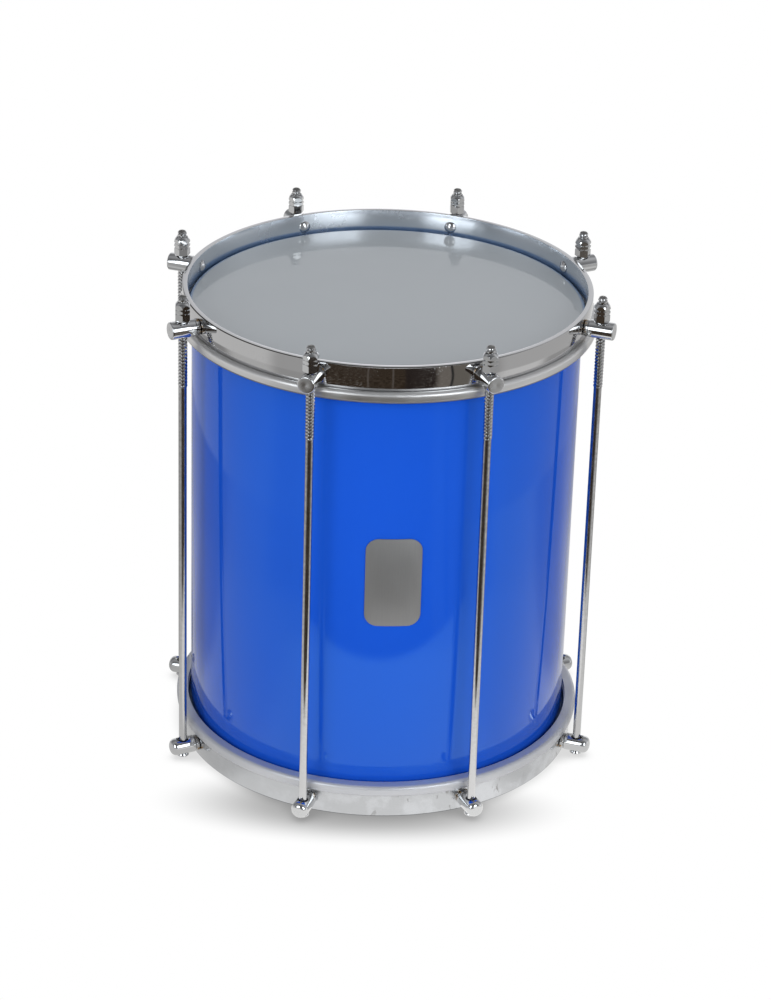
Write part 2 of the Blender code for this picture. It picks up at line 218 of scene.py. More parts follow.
def turned(name, outline, steps, ring=False):
    """Draw a circle out along an outline of (radius, height). A ring closes on itself."""
    only(None)
    radius, height = outline[0]
    fill = "NOTHING" if ring else "NGON"
    bpy.ops.mesh.primitive_circle_add(
        vertices=steps, radius=radius, fill_type=fill, location=(0, 0, height)
    )
    piece = added(name)
    edit(piece)
    for next_radius, next_height in outline[1:]:
        rise = next_height - height
        bpy.ops.mesh.extrude_region_move(TRANSFORM_OT_translate={"value": (0, 0, rise)})
        share = next_radius / radius
        bpy.ops.transform.resize(value=(share, share, 1), center_override=(0, 0, next_height))
        radius, height = next_radius, next_height
    if ring:
        bpy.ops.mesh.select_mode(type="EDGE")
        bpy.ops.mesh.select_all(action="DESELECT")
        bpy.ops.mesh.select_non_manifold()
        bpy.ops.mesh.bridge_edge_loops()
        bpy.ops.mesh.select_mode(type="VERT")
    close_up()
    return piece


def flat_ring(name, inner, outer, foot, top, steps):
    """A ring of flat bar."""
    outline = [(inner, top), (outer, top), (outer, foot), (inner, foot)]
    return turned(name, outline, steps, ring=True)


def rounded(piece, width, angle):
    """Round a piece's edges that turn more sharply than the angle."""
    apply_modifier(
        piece,
        "BEVEL",
        width=width,
        segments=2,
        limit_method="ANGLE",
        angle_limit=math.radians(angle),
        harden_normals=False,
    )


def smooth(piece, angle):
    """Shade a piece smooth, apart from edges that turn more sharply than the angle."""
    only(piece)
    bpy.ops.object.shade_smooth_by_angle(angle=math.radians(angle))
    return piece


def joined_with(piece, tool, operation):
    """Cut, join or trim a piece with a tool, which is then thrown away."""
    apply_modifier(piece, "BOOLEAN", operation=operation, object=tool, solver="EXACT")
    bpy.data.objects.remove(tool, do_unlink=True)


def mark(piece, name, value):
    """Give each corner of a piece a value that depends on its place, for its finish to read."""
    values = piece.data.attributes.new(name, "FLOAT", "POINT")
    values.data.foreach_set("value", [value(corner.co) for corner in piece.data.vertices])


def set_down(piece, turn=(0, 0, 0), shift=(0, 0, 0)):
    """Turn and shift a piece, and keep its place in its mesh."""
    only(piece)
    piece.rotation_euler = turn
    piece.location = shift
    bpy.ops.object.transform_apply(location=True, rotation=True, scale=True)
    return piece


def copy_of(piece, name):
    """A copy of a piece, with its own mesh."""
    only(piece)
    bpy.ops.object.duplicate(linked=False)
    copy = bpy.context.object
    copy.name = name
    copy.data.name = name
    return copy


def flipped_below(piece, name):
    """A copy for the drum's lower end, turned over about a level axis."""
    return set_down(copy_of(piece, name), turn=(math.pi, 0, 0), shift=(0, 0, DRUM_MIDDLE * 2))


def copies_at_rods(pattern, name, turns=None):
    """One copy of the pattern at each rod. The pattern lies along +X, or with turns on the axis."""
    copies = []
    for number, (angle, _) in enumerate(RODS, start=1):
        copy = copy_of(pattern, f"{name}_{number}")
        if turns is not None:
            set_down(copy, turn=(0, 0, math.radians(turns[number - 1])))
            set_down(copy, shift=(ROD_CIRCLE, 0, 0))
        set_down(copy, turn=(0, 0, angle))
        copies.append(copy)
    bpy.data.objects.remove(pattern, do_unlink=True)
    return copies


def dress(piece, body, slot, material, *nodes):
    """Give a piece its finish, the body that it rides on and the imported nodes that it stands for."""
    piece.data.materials.clear()
    piece.data.materials.append(material)
    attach(piece, body)
    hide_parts(*nodes)


def dress_row(pattern, name, body, slot, material, node):
    """Copy a pattern to each rod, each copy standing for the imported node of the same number."""
    for number, piece in enumerate(copies_at_rods(pattern, name), start=1):
        dress(piece, body, slot, material, f"{node}_{number}")


# Materials.


def scaled(colour, share):
    """A colour made darker or lighter by a share."""
    return tuple(channel * share for channel in colour)


class NodeWork:
    """A node tree under construction, with short ways to add and join nodes."""

    def __init__(self, tree, coordinates):
        self.tree = tree
        self.place = self.node("ShaderNodeTexCoord").outputs[coordinates]

    def node(self, kind, **values):
        made = self.tree.nodes.new(kind)
        for name, value in values.items():
            setattr(made, name, value)
        return made

    def join(self, source, target):
        """Link an output to a socket, or set the socket to a number or a colour."""
        if isinstance(source, (int, float)):
            target.default_value = source
        elif isinstance(source, tuple):
            target.default_value = (*source, 1.0) if len(source) == 3 else source
        else:
            self.tree.links.new(source, target)

    def maths(self, operation, first, second=0.0, third=0.0):
        made = self.node("ShaderNodeMath", operation=operation)
        for value, socket in zip((first, second, third), made.inputs):
            self.join(value, socket)
        return made.outputs[0]

    def product(self, first, *others):
        """Several values multiplied."""
        result = first
        for other in others:
            result = self.maths("MULTIPLY", result, other)
        return result

    def off(self, value, place):
        """How far a value is from a place, to either side."""
        return self.maths("ABSOLUTE", self.maths("SUBTRACT", value, place))

    def ramp(self, value, start, end, low=0.0, high=1.0):
        """Run smoothly from low to high as the value goes from start to end."""
        made = self.node("ShaderNodeMapRange", interpolation_type="SMOOTHSTEP")
        names = ("Value", "From Min", "From Max", "To Min", "To Max")
        for name, source in zip(names, (value, start, end, low, high)):
            self.join(source, made.inputs[name])
        return made.outputs["Result"]

    def noise(self, scale, detail=2.0, roughness=0.5, stretch=(1, 1, 1)):
        """Cloudy variation, 0 to 1, with the scale in lumps per metre."""
        mapping = self.node("ShaderNodeMapping")
        self.join(self.place, mapping.inputs["Vector"])
        mapping.inputs["Scale"].default_value = stretch
        made = self.node("ShaderNodeTexNoise")
        self.join(mapping.outputs["Vector"], made.inputs["Vector"])
        made.inputs["Scale"].default_value = scale
        made.inputs["Detail"].default_value = detail
        made.inputs["Roughness"].default_value = roughness
        return made.outputs["Fac"]

    def mix(self, share, first, second):
        made = self.node("ShaderNodeMix", data_type="RGBA")
        for value, place in zip((share, first, second), (0, 6, 7)):
            self.join(value, made.inputs[place])
        return made.outputs[2]

    def bump(self, height, distance, after=None):
        """A normal that follows a height, on top of another bump if one is given."""
        made = self.node("ShaderNodeBump")
        self.join(height, made.inputs["Height"])
        made.inputs["Distance"].default_value = distance
        made.inputs["Strength"].default_value = 1.0
        if after is not None:
            self.join(after, made.inputs["Normal"])
        return made.outputs["Normal"]

    def painted(self, name):
        """The value that mark() gave the piece's corners."""
        return self.node("ShaderNodeAttribute", attribute_name=name).outputs["Fac"]

    def glow(self, kind, colour, strength=1.0):
        """An emission or background shader."""
        made = self.node(kind)
        self.join(colour, made.inputs["Color"])
        self.join(strength, made.inputs["Strength"])
        return made.outputs[0]

    def blend(self, share, first, second):
        """Blend two shaders."""
        made = self.node("ShaderNodeMixShader")
        for source, socket in zip((share, first, second), made.inputs):
            self.join(source, socket)
        return made.outputs[0]

    def parts(self, place=None):
        """The X, Y and Z of a place, or of the point that is shaded."""
        split = self.node("ShaderNodeSeparateXYZ")
        self.join(self.place if place is None else place, split.inputs[0])
        return split.outputs

    def parts_from_camera(self):
        """The X, Y and Z of the point that is shaded, turned so that -Y faces the camera."""
        turn = self.node("ShaderNodeMapping")
        self.join(self.place, turn.inputs["Vector"])
        turn.inputs["Rotation"].default_value = (0, 0, CAMERA_TURN)
        return self.parts(turn.outputs["Vector"])

    def distance_from_axis(self):
        """Distance from the drum's axis, and height."""
        x, y, z = self.parts()
        square = self.maths("MULTIPLY", x, x)
        square = self.maths("MULTIPLY_ADD", y, y, square)
        return self.maths("SQRT", square), z


class Finish(NodeWork):
    """A material under construction."""

    def __init__(self, name):
        self.material = bpy.data.materials.new(name)
        self.material.use_nodes = True
        super().__init__(self.material.node_tree, "Object")
        self.shader = self.tree.nodes["Principled BSDF"]

    def set(self, **values):
        """Set the shader's sockets, named with underscores for spaces."""
        for name, value in values.items():
            self.join(value, self.shader.inputs[name.replace("_", " ")])

    def show(self, shader):
        """Show another shader in place of the usual one."""
        self.tree.nodes.remove(self.shader)
        self.join(shader, self.tree.nodes["Material Output"].inputs["Surface"])


def lacquer(tint):
    """Glossy lacquer on rolled sheet: an even colour with a cool sheen and a faint orange peel."""
    finish = Finish("blue_lacquer")
    clouds = finish.noise(9, detail=3)
    finish.set(Base_Color=finish.mix(clouds, scaled(tint, 0.93), tint))
    finish.set(Roughness=finish.ramp(finish.noise(40, detail=4), 0.3, 0.7, 0.03, 0.06))
    finish.set(IOR=1.5, Specular_IOR_Level=0.5, Specular_Tint=(0.38, 1.0, 0.95))
    peel = finish.bump(finish.noise(700, detail=1), 0.004 * MM)
    sheet = finish.bump(finish.noise(14, detail=1, stretch=(1, 1, 0.35)), 0.08 * MM, after=peel)
    finish.set(Normal=sheet)
    return finish.material


def chrome(name):
    """Plated steel: mirror bright, with a little handling haze and fine pits in the plate."""
    finish = Finish(name)
    smudges = finish.noise(55, detail=5, roughness=0.6)
    finish.set(Base_Color=PLATE_TINT, Metallic=1.0)
    finish.set(Roughness=finish.ramp(smudges, 0.35, 0.75, 0.05, 0.05 * 2.2))
    specks = finish.ramp(finish.noise(1500, detail=2), 0.62, 0.78)
    finish.set(Normal=finish.bump(specks, 0.004 * MM))
    return finish.material


def stained(finish, tint, stains):
    """Plate with pale clouds and small dark rubbed marks, fewer of them on the drum's left."""
    x, _, _ = finish.parts()
    stains = finish.ramp(x, -0.09, 0.0, 0.35 * stains, stains)
    clouds = finish.ramp(finish.noise(55, detail=5, roughness=0.6), 0.42, 0.62)
    plate = finish.mix(finish.product(clouds, stains), tint, PALE_STAIN)
    rubbed = finish.ramp(finish.noise(1, detail=4, stretch=(230, 230, 110)), 0.60, 0.70)
    places = finish.ramp(finish.noise(22, detail=1), 0.45, 0.60)
    return finish.mix(finish.product(rubbed, places, stains), plate, DARK_STAIN)


def painted_corner_shade(finish):
    """1 where a dark line of painted shade runs along the upper rim's outer corner, at the drum's front
    left.
    """
    x, y, _ = finish.parts()
    around, height = finish.distance_from_axis()
    return finish.product(
        finish.ramp(height, HOOP_TOP - 0.5 * MM, HOOP_TOP - 0.3 * MM),
        finish.ramp(around, HOOP_OUTER - 0.9 * MM, HOOP_OUTER - 0.5 * MM),
        finish.ramp(x, 0.03, 0.10, 1.0, 0.15),
        finish.ramp(y, -0.05, 0.02, 1.0, 0.0),
    )


def hoop_plate(name, tint, outside, inside, pits, stains):
    """Plated hoop: polished outside, hazier inside, with fine pits, stains and handling marks, painted
    light on its inner wall and painted shade along its upper outer corner.
    """
    finish = Finish(name)
    around, _ = finish.distance_from_axis()
    outer = finish.ramp(around, HOOP_INNER + 0.02 * MM, HOOP_INNER + 0.12 * MM)
    # Painted shade: a dark line along the upper rim's outer corner.
    corner_shade = painted_corner_shade(finish)
    # Painted light: the inner wall takes a brighter, bluish copy of the plate's tint.
    metal = finish.mix(outer, INSIDE_WALL_LIGHT_TINT, stained(finish, tint, stains))
    finish.set(Base_Color=finish.mix(corner_shade, metal, CORNER_SHADE_TINT), Metallic=1.0)
    smudges = finish.ramp(finish.noise(45, detail=5, roughness=0.6), 0.35, 0.75, 0.8, 1.7)
    haze = finish.product(finish.ramp(outer, 0.0, 1.0, inside, outside), smudges)
    finish.set(Roughness=finish.maths("MULTIPLY_ADD", corner_shade, 0.5, haze))
    specks = finish.ramp(finish.noise(1300, detail=2), 0.62, 0.78)
    patches = finish.ramp(finish.noise(38, detail=2), 0.45, 0.65)
    wall = finish.ramp(around, HOOP_OUTER - 0.2 * MM, HOOP_OUTER - 0.1 * MM)
    finish.set(Normal=finish.bump(finish.product(specks, patches, wall), pits))
    return finish.material


def turned_aluminium(name, tint, foot_shade_tint, metal, smooth_to, rough_to):
    """Bright aluminium ring with faint lines along it, and painted shade at its foot next to the shell."""
    finish = Finish(name)
    around, height = finish.distance_from_axis()
    section = finish.node("ShaderNodeCombineXYZ")
    finish.join(around, section.inputs[0])
    finish.join(height, section.inputs[1])
    lines = finish.node("ShaderNodeTexNoise")
    finish.join(section.outputs[0], lines.inputs["Vector"])
    lines.inputs["Scale"].default_value = 1800
    lines.inputs["Detail"].default_value = 3
    foot = FLESH_FOOT - DRUM_MIDDLE
    # Painted shade: the lowest part of the ring, next to the shell, takes the foot's darker tint.
    unshaded = finish.ramp(finish.off(height, DRUM_MIDDLE), foot + 1.4 * MM, foot + 2.1 * MM)
    finish.set(Base_Color=finish.mix(unshaded, foot_shade_tint, tint), Metallic=metal)
    finish.set(Roughness=finish.ramp(finish.noise(60, detail=4), 0.3, 0.7, smooth_to, rough_to))
    finish.set(Normal=finish.bump(lines.outputs["Fac"], 0.006 * MM))
    return finish.material


def film(tint, shell_light_tint):
    """Milky polyester film: smooth and glossy, with painted blue light from the shell where it bends down
    past the shell's edge.
    """
    finish = Finish("milky_film")
    around, _ = finish.distance_from_axis()
    milk = finish.mix(finish.noise(7, detail=3), tint, scaled(tint, 1.03))
    # Painted light: blue from the shell beneath, where the film bends over it.
    shell_light = finish.ramp(around, SHELL_OUTER - 1.0 * MM, SHELL_OUTER + 0.8 * MM)
    finish.set(Base_Color=finish.mix(shell_light, milk, shell_light_tint))
    finish.set(Roughness=finish.ramp(finish.noise(30, detail=4), 0.3, 0.7, 0.3, 0.36))
    finish.set(Specular_IOR_Level=0.2, Coat_Weight=0.82, Coat_Roughness=0.045, Coat_IOR=1.6)
    finish.set(Coat_Normal=finish.bump(finish.noise(900, detail=1), 0.002 * MM))
    return finish.material


def barrel_plate():
    """Bright plate, with brassy tarnish caught at the collar next to the hoop."""
    finish = Finish("barrel_chrome")
    around, _ = finish.distance_from_axis()
    near = finish.ramp(around, BARREL_COLLAR - 1.4 * MM, BARREL_COLLAR + 0.4 * MM, 1.0, 0.0)
    tarnish = finish.product(near, finish.ramp(finish.noise(330, detail=3), 0.46, 0.62))
    finish.set(Base_Color=finish.mix(tarnish, PLATE_TINT, BRASS_TINT), Metallic=1.0)
    smudges = finish.ramp(finish.noise(90, detail=4), 0.35, 0.75, 0.04, 0.10)
    smudges = finish.maths("MULTIPLY_ADD", finish.painted("end_face"), 0.22, smudges)
    finish.set(Roughness=finish.maths("MULTIPLY_ADD", tarnish, 0.25, smudges))
    finish.set(Normal=finish.bump(finish.noise(900, detail=3), 0.002 * MM))
    return finish.material


def rod_finish():
    """Bright zinc on the rods, darker in the roots of the thread."""
    finish = Finish("rod_zinc")
    spots = finish.ramp(finish.noise(400, detail=2), 0.35, 0.65, 0.45, 1.0)
    # Darker and hazier in the roots of the thread.
    root_darkening = finish.product(finish.painted("thread_root"), spots)
    finish.set(Base_Color=finish.mix(root_darkening, ZINC_TINT, ROOT_TINT), Metallic=1.0)
    smudges = finish.ramp(finish.noise(70, detail=4), 0.35, 0.75, 0.07, 0.16)
    finish.set(Roughness=finish.maths("MULTIPLY_ADD", root_darkening, 0.2, smudges))
    drawn = finish.noise(1, detail=2, stretch=(2500, 2500, 40))
    finish.set(Normal=finish.bump(drawn, 0.003 * MM))
    return finish.material


def brushed_plate():
    """A plain badge plate, finely brushed up and down."""
    finish = Finish("badge_metal")
    strokes = finish.noise(1, detail=3, stretch=(3000, 300, 60))
    clouds = finish.noise(60, detail=3)
    finish.set(Base_Color=finish.mix(clouds, scaled(BADGE_TINT, 0.94), BADGE_TINT), Metallic=0.75)
    finish.set(Roughness=finish.ramp(strokes, 0.3, 0.7, 0.42, 0.55))
    finish.set(Normal=finish.bump(strokes, 0.01 * MM))
    return finish.material


# What a user may change.


def length(name, description, default):
    """A length for a property group, in metres."""
    return bpy.props.FloatProperty(
        name=name, description=description, default=default, min=0.0, precision=5,
        unit="LENGTH", subtype="DISTANCE",
    )


def colour(name, description, default):
    """A colour for a property group."""
    return bpy.props.FloatVectorProperty(
        name=name, description=description, default=default, size=3, min=0.0, max=1.0, subtype="COLOR"
    )


class ShellSettings(bpy.types.PropertyGroup):
    wall: length("Wall", "Thickness of the rolled sheet", 1.2 * MM)
    curl: length("Curl", "How far each end is turned in", 4.0 * MM)
    lacquer: colour("Lacquer", "Colour of the lacquer", (0.0128, 0.108, 0.72))


class HeadSettings(bpy.types.PropertyGroup):
    film: colour("Film", "Colour of the milky film", (0.450, 0.478, 0.503))
    # The edge colour is painted blue light from the shell beneath the film.
    edge: colour("Edge", "Colour of the film where it bends down past the shell", (0.16, 0.26, 0.44))
    thickness: length("Thickness", "Thickness of the film", 0.3 * MM)


class HoopSettings(bpy.types.PropertyGroup):
    corner: length("Corner", "Rounding of the flat bar's corners", 0.14 * MM)
    bead: length("Bead", "Rounding of the flesh hoops", 2.6 * MM)
    steps: bpy.props.IntProperty(
        name="Steps", description="Facets round each ring", default=256, min=32, max=512
    )


class HardwareSettings(bpy.types.PropertyGroup):
    pitch: length("Pitch", "Pitch of the rods' thread", 2.3 * MM)
    thread_length: length("Thread", "Length of thread on a rod", 63.0 * MM)
    thread_radius: length("Thread radius", "Outer radius of the thread", 3.0 * MM)
    thread_depth: length("Thread depth", "Depth of the thread", 0.62 * MM)
    shank_radius: length("Shank radius", "Radius of the plain shank", 2.6 * MM)
    across_flats: length("Across flats", "Size of the nuts' hexagon", 9.2 * MM)
    groove: length("Groove", "Width of the grooves round a nut", 1.5 * MM)
    upper_end: length("Upper end", "Rounding of the upper barrels' ends", 1.0 * MM)
    lower_end: length("Lower end", "Rounding of the lower barrels' ends", 3.8 * MM)


class StageSettings(bpy.types.PropertyGroup):
    floor: colour("Floor", "Colour of the floor", (0.75, 0.75, 0.75))
    lens: bpy.props.FloatProperty(
        name="Lens", description="Focal length of the camera", default=119.7, unit="CAMERA"
    )


def settings(group):
    """The scene's property group of that name."""
    return getattr(bpy.context.scene, "drum_" + group)


# The pieces.


class DRUM_OT_shell(bpy.types.Operator):
    """Model the lacquered tube with its ends turned in under the heads"""

    bl_idname = "drum.shell"
    bl_label = "Shell"

    def execute(self, context):
        size = settings("shell")
        wall = size.wall
        inner = SHELL_OUTER - wall
        curl = SHELL_OUTER - size.curl
        turn = 1.4 * MM
        part_turn = turn * 0.29
        drop = 0.9 * MM
        edge = [(SHELL_OUTER - turn, 0), (SHELL_OUTER - part_turn, part_turn), (SHELL_OUTER, turn)]
        under = [
            (curl, drop),
            (curl, drop + wall),
            (inner - turn * 0.5, wall * 1.1),
            (inner, turn + wall * 0.6),
        ]
        outline = [(radius, SHELL_TOP - depth) for radius, depth in edge]
        outline += [(radius, SHELL_FOOT + depth) for radius, depth in reversed(edge)]
        outline += [(radius, SHELL_FOOT + depth) for radius, depth in under]
        outline += [(radius, SHELL_TOP - depth) for radius, depth in reversed(under)]
        shell = turned("lacquered_shell", outline, settings("hoops").steps, ring=True)
        smooth(shell, 60)
        dress(shell, DRUM, "blue_lacquer", lacquer(tuple(size.lacquer)), "shell")
        return {"FINISHED"}


class DRUM_OT_heads(bpy.types.Operator):
    """Model the two milky films, drawn over the shell's edges and down inside the flesh hoops"""

    bl_idname = "drum.heads"
    bl_label = "Heads"

    def execute(self, context):
        size = settings("heads")
        thick = size.thickness
        skirt = FILM_EDGE - 1.1 * MM
        near = 60 * MM
        far = 110 * MM
        outside = [(skirt + across * MM, HEAD_LEVEL - down * MM) for across, down in FILM_BEND]
        inside = [(radius - thick * 0.8, level - thick) for radius, level in reversed(outside)]
        skin = [(near, HEAD_LEVEL), (far, HEAD_LEVEL)]
        skin += outside
        skin += [
            (skirt, FILM_FOOT + 0.7 * MM),
            (FILM_EDGE, FILM_FOOT + 0.4 * MM),
            (FILM_EDGE, FILM_FOOT),
            (skirt - thick, FILM_FOOT + 0.2 * MM),
        ]
        skin += inside
        skin.append((far, HEAD_LEVEL - thick))
        upper = turned("upper_film", skin, settings("hoops").steps)
        smooth(upper, 50)
        lower = flipped_below(upper, "lower_film")
        milk = film(tuple(size.film), tuple(size.edge))
        dress(upper, DRUM, "milky_film", milk, "top_head")
        dress(lower, DRUM, "milky_film", milk, "bottom_head")
        return {"FINISHED"}


def is_outer_edge(one, two):
    """Whether an edge of a flesh hoop runs round its outer side."""
    level = abs(one.z - two.z) < 0.01 * MM
    return level and min(one.xy.length, two.xy.length) > FLESH_INNER + 1 * MM


class DRUM_OT_flesh_hoops(bpy.types.Operator):
    """Model the rounded aluminium rings that hold the films"""

    bl_idname = "drum.flesh_hoops"
    bl_label = "Flesh hoops"

    def execute(self, context):
        size = settings("hoops")
        upper = flat_ring("upper_flesh_ring", FLESH_INNER, FLESH_OUTER, FLESH_FOOT, FLESH_TOP, size.steps)
        edges_rounded(upper, is_outer_edge, size.bead, 7)
        smooth(upper, 40)
        lower = flipped_below(upper, "lower_flesh_ring")
        # The second tint of each ring is painted shade at its foot; the lower ring's is nearly its own
        # tint.
        bright = turned_aluminium("aluminium", (0.76, 0.755, 0.75), (0.25, 0.245, 0.24), 1.0, 0.36, 0.46)
        dull = turned_aluminium("dull_aluminium", (0.60, 0.60, 0.615), (0.60, 0.605, 0.63), 0.6, 0.38, 0.48)
        dress(upper, DRUM, "aluminium", bright, "top_flesh_hoop")
        dress(lower, DRUM, "aluminium", dull, "bottom_flesh_hoop")
        return {"FINISHED"}


class DRUM_OT_counter_hoops(bpy.types.Operator):
    """Model the two hoops of flat chromed bar"""

    bl_idname = "drum.counter_hoops"
    bl_label = "Counter hoops"

    def execute(self, context):
        size = settings("hoops")
        upper = flat_ring("upper_rim", HOOP_INNER, HOOP_OUTER, HOOP_FOOT, HOOP_TOP, size.steps)
        rounded(upper, size.corner, 60)
        smooth(upper, 40)
        lower = flipped_below(upper, "lower_rim")
        bright = hoop_plate("hoop_chrome", (0.60, 0.60, 0.605), 0.045, 0.19, 0.05 * MM, 0.0)
        dull = hoop_plate("lower_hoop_chrome", (0.535, 0.545, 0.56), 0.16, 0.18, 0.002 * MM, 0.7)
        dress(upper, UPPER_HOOP, "chrome", bright, "top_hoop")
        dress(lower, DRUM, "chrome", dull, "bottom_hoop")
        return {"FINISHED"}


def barrel(name, end):
    """A barrel along +X at level 0: turned, grooved, and drilled across for its rod."""
    tip = BARREL_END - BARREL_END_GAP
    flat = BARREL_RADIUS - end
    collar = BARREL_RADIUS - 0.25 * MM
    body = [
        (0.3 * MM, tip - 0.06 * MM),
        (0.5 * MM, tip - 0.01 * MM),
    ]
    for step in range(7):
        angle = math.radians(90 - step * 15)
        body.append((flat + end * math.cos(angle), tip - end + end * math.sin(angle)))
    body += [
        (BARREL_RADIUS, BARREL_COLLAR + 0.8 * MM),
        (BARREL_RADIUS - 0.9 * MM, BARREL_COLLAR + 0.4 * MM),
        (collar, BARREL_COLLAR),
        (collar, BARREL_START + 0.4 * MM),
        (BARREL_RADIUS - 0.65 * MM, BARREL_START),
    ]
    piece = turned(name, body, 48)
    mark(piece, "end_face", lambda place: float(place.z > tip - 0.1 * MM))
    set_down(piece, turn=(0, math.pi / 2, 0))
    reach = BARREL_RADIUS + 1 * MM
    bore = 3.6 * MM
    flare = 5.9 * MM
    narrow = reach - 2.3 * MM
    hole = [(flare, reach), (bore, narrow), (bore, -narrow), (flare, -reach)]
    drill = set_down(turned("rod_drill", hole, 32), shift=(ROD_CIRCLE, 0, 0))
    joined_with(piece, drill, "DIFFERENCE")
    return smooth(piece, 30)


class DRUM_OT_barrels(bpy.types.Operator):
    """Model the chromed barrels that carry the rods on both hoops"""

    bl_idname = "drum.barrels"
    bl_label = "Barrels"

    def execute(self, context):
        size = settings("hardware")
        plate = barrel_plate()
        upper = set_down(barrel("upper_barrel", size.upper_end), shift=(0, 0, BARREL_LEVEL))
        lower = set_down(barrel("lower_barrel", size.lower_end), shift=(0, 0, LOWER_BARREL_LEVEL))
        dress_row(upper, "upper_lug", UPPER_HOOP, "chrome", plate, "upper_barrel")
        dress_row(lower, "lower_lug", DRUM, "chrome", plate, "lower_barrel")
        return {"FINISHED"}


class DRUM_OT_rivets(bpy.types.Operator):
    """Model the rivets, with their domed heads inside the hoops"""

    bl_idname = "drum.rivets"
    bl_label = "Rivets"

    def execute(self, context):
        plate = chrome("rivet_chrome")
        seat = HOOP_INNER - 0.1 * MM
        rise = seat - RIVET_TIP
        shank = 1.8 * MM
        head = 4.0 * MM
        body = [(shank, RIVET_END), (shank, seat), (head, seat), (head, seat - 0.35 * MM)]
        for width, height in ((0.92, 0.3), (0.75, 0.5), (0.5, 0.72), (0.25, 0.92), (0.08, 1.0)):
            body.append((head * width, seat - rise * height))
        upper = set_down(turned("upper_rivet", body, 32), turn=(0, math.pi / 2, 0))
        smooth(upper, 40)
        lower = flipped_below(set_down(upper, shift=(0, 0, BARREL_LEVEL)), "lower_rivet")
        dress_row(upper, "upper_stud", UPPER_HOOP, "chrome", plate, "upper_rivet")
        dress_row(lower, "lower_stud", DRUM, "chrome", plate, "lower_rivet")
        return {"FINISHED"}


def thread(name, radius, depth, pitch, foot, top):
    """A screw thread about Z between two levels, cut square at both ends."""
    root = radius - depth
    turns = math.ceil((top - foot) / pitch) + 3
    start = foot - 1.5 * pitch
    only(None)
    bpy.ops.mesh.primitive_plane_add(
        size=pitch, rotation=(math.pi / 2, 0, 0), location=(root + pitch / 2, 0, start + pitch / 2)
    )
    piece = added(name)
    edit(piece)
    select_corners(piece, lambda place: place.x > root + pitch / 2)
    bpy.ops.mesh.delete(type="VERT")
    bpy.ops.mesh.select_all(action="SELECT")
    bpy.ops.mesh.subdivide(number_cuts=2)
    select_corners(piece, lambda place: abs(place.z - start - pitch / 2) < pitch / 3)
    bpy.ops.transform.translate(value=(depth, 0, 0))
    bpy.ops.transform.resize(value=(1, 1, 1.2), center_override=(0, 0, start + pitch / 2))
    bpy.ops.object.mode_set(mode="OBJECT")
    apply_modifier(
        piece,
        "SCREW",
        steps=20,
        render_steps=20,
        iterations=turns,
        screw_offset=pitch,
        use_merge_vertices=True,
        merge_threshold=0.01 * MM,
    )
    edit(piece)
    bpy.ops.mesh.remove_doubles(threshold=0.002 * MM)
    for level, side in ((top, 1), (foot, -1)):
        bpy.ops.mesh.select_all(action="SELECT")
        bpy.ops.mesh.bisect(plane_co=(0, 0, level), plane_no=(0, 0, side), clear_outer=True, use_fill=True)
    close_up()
    return piece


class DRUM_OT_rods(bpy.types.Operator):
    """Model the tension rods: a real thread, a plain shank, and a head under the lower barrel"""

    bl_idname = "drum.rods"
    bl_label = "Tension rods"

    def execute(self, context):
        size = settings("hardware")
        thread_foot = ROD_TIP - size.thread_length
        radius = size.thread_radius
        depth = size.thread_depth
        plain = size.shank_radius
        rod = thread("rod", radius, depth, size.pitch, thread_foot, ROD_TIP)
        shape = [
            (radius - 1.6 * MM, ROD_TIP - 0.01 * MM),
            (radius - 0.7 * MM, ROD_TIP - 0.4 * MM),
            (radius + 0.05 * MM, ROD_TIP - 1.5 * MM),
            (radius + 0.05 * MM, thread_foot + 0.8 * MM),
            (plain - 0.2 * MM, thread_foot + 0.02 * MM),
        ]
        joined_with(rod, turned("rod_shape", shape, 40), "INTERSECT")
        head_top = 2.45 * MM
        shank = [
            (plain - 0.3 * MM, thread_foot + 3 * MM),
            (plain, thread_foot + 0.4 * MM),
            (plain, head_top + 2.0 * MM),
            (3.3 * MM, head_top + 1.2 * MM),
            (4.15 * MM, head_top),
            (4.2 * MM, ROD_FOOT + 0.5 * MM),
            (3.7 * MM, ROD_FOOT + 0.05 * MM),
            (2.5 * MM, ROD_FOOT),
        ]
        joined_with(rod, turned("rod_shank", shank, 40), "UNION")
        smooth(rod, 35)

        def in_root(place):
            return (radius - place.xy.length) / depth if place.z > thread_foot else 0.0

        mark(rod, "thread_root", in_root)
        set_down(rod, shift=(ROD_CIRCLE, 0, 0))
        dress_row(rod, "rod", DRUM, "rod_steel", rod_finish(), "tension_rod")
        return {"FINISHED"}


